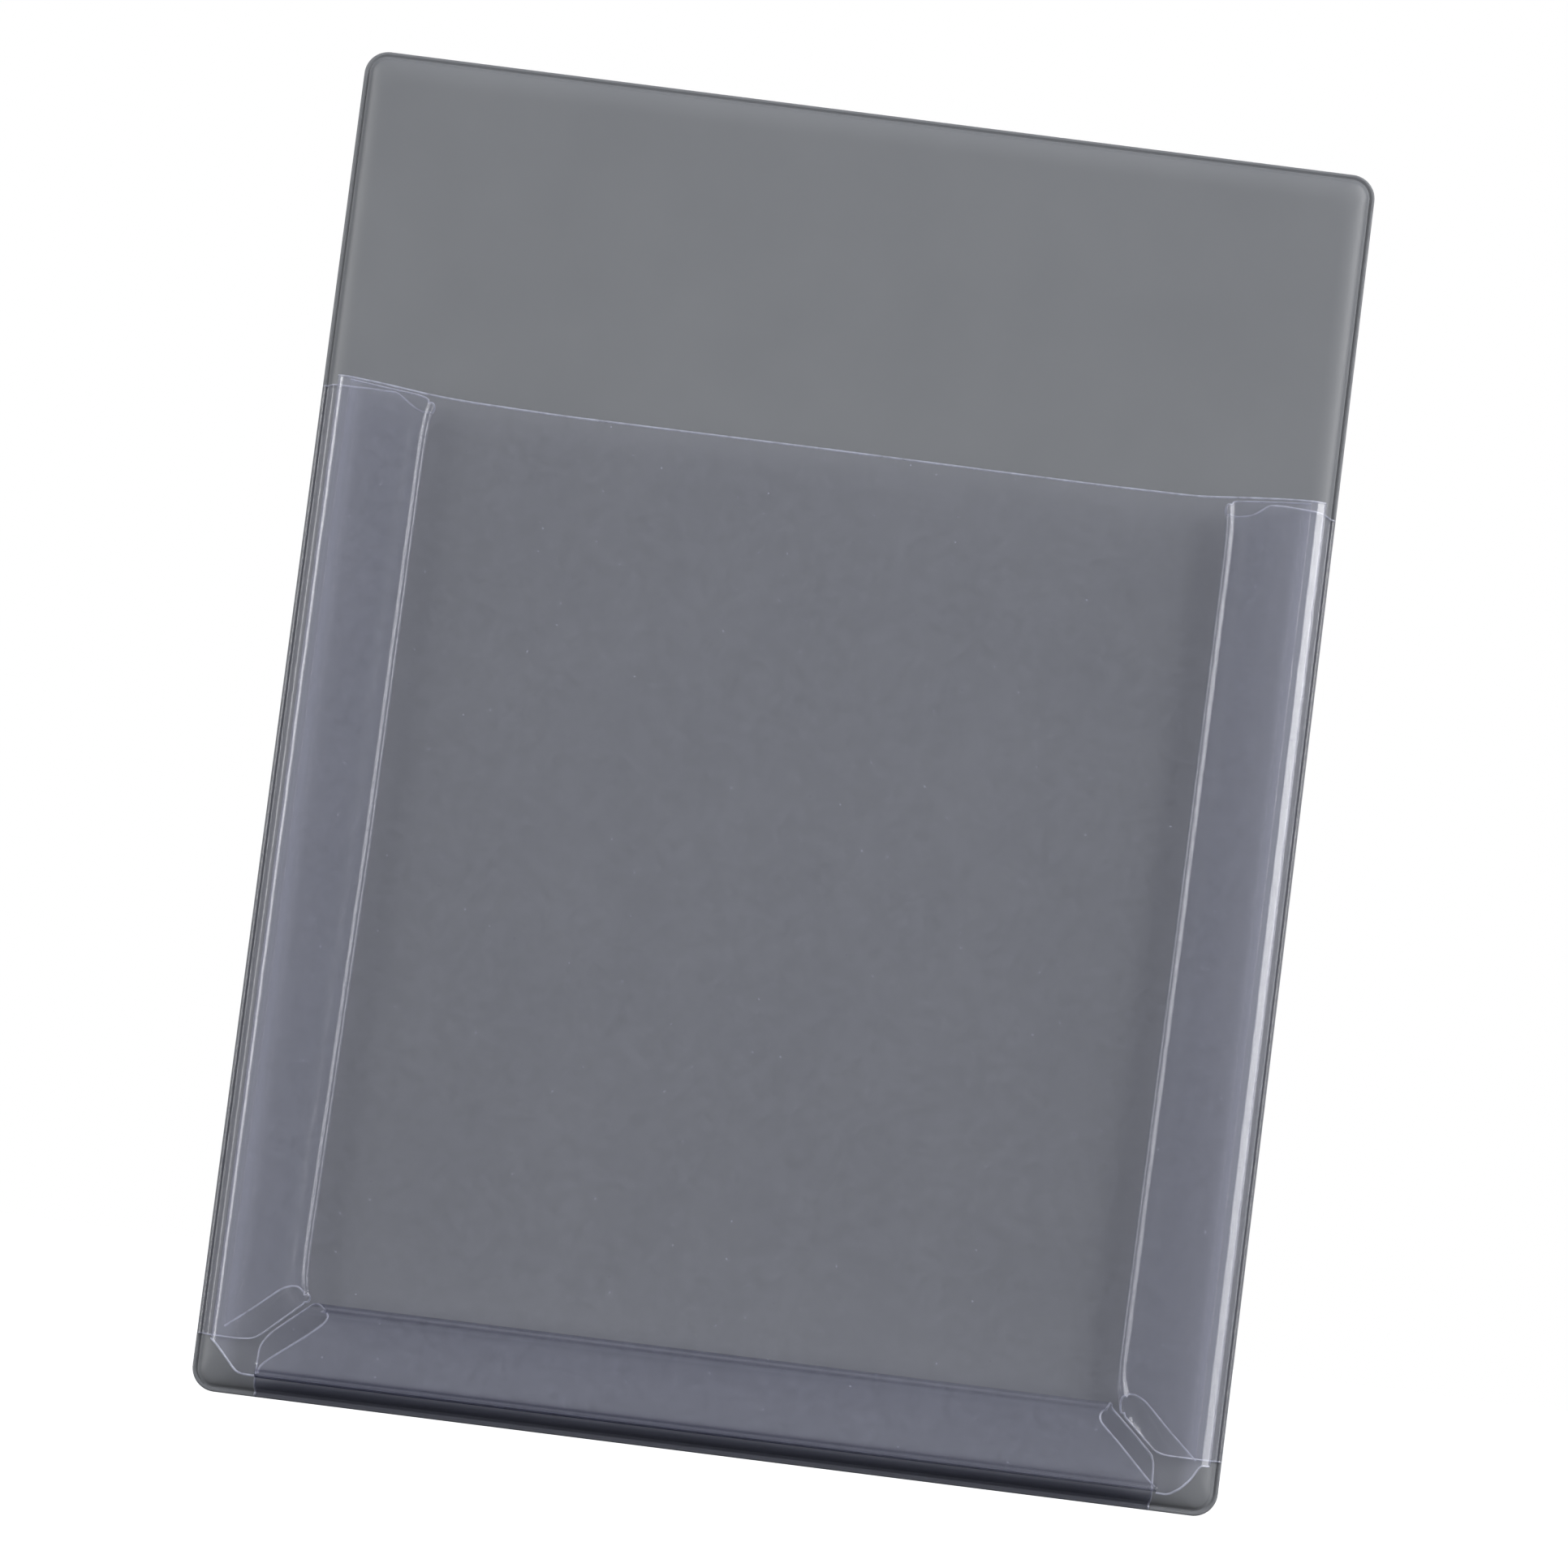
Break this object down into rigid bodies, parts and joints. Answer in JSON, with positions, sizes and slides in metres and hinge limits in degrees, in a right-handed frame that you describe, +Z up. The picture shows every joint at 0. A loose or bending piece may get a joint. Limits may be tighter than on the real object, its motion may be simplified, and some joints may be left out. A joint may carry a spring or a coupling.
{
  "type": "self-adhesive document pocket",
  "caption": "Stiff grey backing panel with self-adhesive strips behind and a clear film pocket in front, open at the top, with folding gussets at the sides and bottom.",
  "frame": {"origin": "centre of the rear face, on the outside of the middle strip's liner", "axes": "+X across the panel to the reader's right, +Y through the panel into the wall, +Z up the panel"},
  "size_m": [0.235, 0.0151, 0.31],
  "materials": {
    "grey_vinyl": "satin grey PVC film",
    "clear_vinyl": "clear glossy PVC film with a faint violet tint",
    "board": "plain grey board",
    "foam_tape": "closed-cell white foam with adhesive faces",
    "liner_paper": "siliconed release paper, low sheen"
  },
  "bodies": {
    "panel": {"front_cover": "grey_vinyl", "rear_cover": "grey_vinyl", "stiffening_board": "board", "left_weld_strip": "clear_vinyl", "right_weld_strip": "clear_vinyl", "bottom_weld_strip": "clear_vinyl", "upper_tape": "foam_tape", "middle_tape": "foam_tape", "lower_tape": "foam_tape"},
    "bottom_gusset_lower": {"bottom_lower_leaf": "clear_vinyl"},
    "bottom_gusset_upper": {"bottom_upper_leaf": "clear_vinyl"},
    "pocket_front_film": {"pocket_front": "clear_vinyl"},
    "left_gusset_lower": {"left_lower_leaf": "clear_vinyl"},
    "left_gusset_upper": {"left_upper_leaf": "clear_vinyl"},
    "right_gusset_lower": {"right_lower_leaf": "clear_vinyl"},
    "right_gusset_upper": {"right_upper_leaf": "clear_vinyl"},
    "upper_release_liner": {"upper_liner": "liner_paper"},
    "middle_release_liner": {"middle_liner": "liner_paper"},
    "lower_release_liner": {"lower_liner": "liner_paper"}
  },
  "joints": [
    {"name": "bottom_weld_crease", "type": "hinge", "parent": "panel", "child": "bottom_gusset_lower", "pos_m": [0, -0.004, -0.1519], "axis": [1, 0, 0], "range_deg": [-4, 58], "stiffness_Nm_per_rad": 0.02},
    {"name": "bottom_inner_fold", "type": "hinge", "parent": "bottom_gusset_lower", "child": "bottom_gusset_upper", "pos_m": [0, -0.00907, -0.12997], "axis": [1, 0, 0], "range_deg": [-116, 8]},
    {"name": "bottom_outer_fold", "type": "hinge", "parent": "bottom_gusset_upper", "child": "pocket_front_film", "pos_m": [0, -0.01422, -0.15035], "axis": [1, 0, 0], "range_deg": [-4, 58]},
    {"name": "left_weld_crease", "type": "hinge", "parent": "panel", "child": "left_gusset_lower", "pos_m": [-0.1145, -0.004, 0], "axis": [0, 0, -1], "range_deg": [-4, 58]},
    {"name": "left_inner_fold", "type": "hinge", "parent": "left_gusset_lower", "child": "left_gusset_upper", "pos_m": [-0.09257, -0.00907, 0], "axis": [0, 0, -1], "range_deg": [-116, 8]},
    {"name": "right_weld_crease", "type": "hinge", "parent": "panel", "child": "right_gusset_lower", "pos_m": [0.1145, -0.004, 0], "axis": [0, 0, 1], "range_deg": [-4, 58]},
    {"name": "right_inner_fold", "type": "hinge", "parent": "right_gusset_lower", "child": "right_gusset_upper", "pos_m": [0.09257, -0.00907, 0], "axis": [0, 0, 1], "range_deg": [-116, 8]},
    {"name": "upper_liner_peel", "type": "hinge", "parent": "panel", "child": "upper_release_liner", "pos_m": [0.1, -0.00015, 0.125], "axis": [0, 0, -1], "range_deg": [0, 75]},
    {"name": "middle_liner_peel", "type": "hinge", "parent": "panel", "child": "middle_release_liner", "pos_m": [0.1, -0.00015, 0], "axis": [0, 0, -1], "range_deg": [0, 75]},
    {"name": "lower_liner_peel", "type": "hinge", "parent": "panel", "child": "lower_release_liner", "pos_m": [0.1, -0.00015, -0.125], "axis": [0, 0, -1], "range_deg": [0, 75]}
  ],
  "couplings": [
    {"joint": "bottom_inner_fold", "follows": "bottom_weld_crease", "ratio": -2},
    {"joint": "bottom_outer_fold", "follows": "bottom_weld_crease", "ratio": 1},
    {"joint": "left_weld_crease", "follows": "bottom_weld_crease", "ratio": 1},
    {"joint": "left_inner_fold", "follows": "bottom_weld_crease", "ratio": -2},
    {"joint": "right_weld_crease", "follows": "bottom_weld_crease", "ratio": 1},
    {"joint": "right_inner_fold", "follows": "bottom_weld_crease", "ratio": -2}
  ]
}
